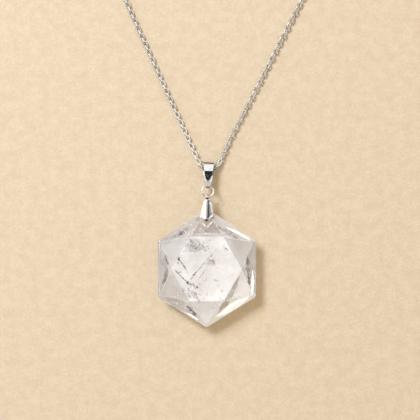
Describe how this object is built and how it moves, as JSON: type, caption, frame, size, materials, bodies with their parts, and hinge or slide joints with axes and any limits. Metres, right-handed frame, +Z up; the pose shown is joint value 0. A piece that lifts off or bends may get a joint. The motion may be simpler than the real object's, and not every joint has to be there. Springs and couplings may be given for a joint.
{
  "type": "crystal pendant necklace",
  "caption": "Hexagonal faceted clear quartz pendant on a pinch bail, jump ring and folded snap bail, hung on a fine cable chain that closes at a ring clasp.",
  "frame": {"origin": "middle of the crystal's back table, on the surface that the necklace lies on", "axes": "+Z up, out of the crystal's front table; +Y from the crystal towards the chain and the clasp; +X to the right of the crystal seen from the front"},
  "size_m": [0.1127, 0.2309, 0.009],
  "materials": {
    "quartz": "clear with pale veils and dark flecks inside, polished facets",
    "polished_silver": "mirror polished silver plate",
    "chain_silver": "polished silver plate, softly worn"
  },
  "bodies": {
    "root": {"crystal": "quartz", "pinch_bail": "polished_silver", "jump_ring": "polished_silver", "snap_bail": "polished_silver", "chain": "chain_silver", "left_end_ring": "polished_silver", "right_end_ring": "polished_silver", "clasp": "polished_silver"}
  },
  "joints": []
}
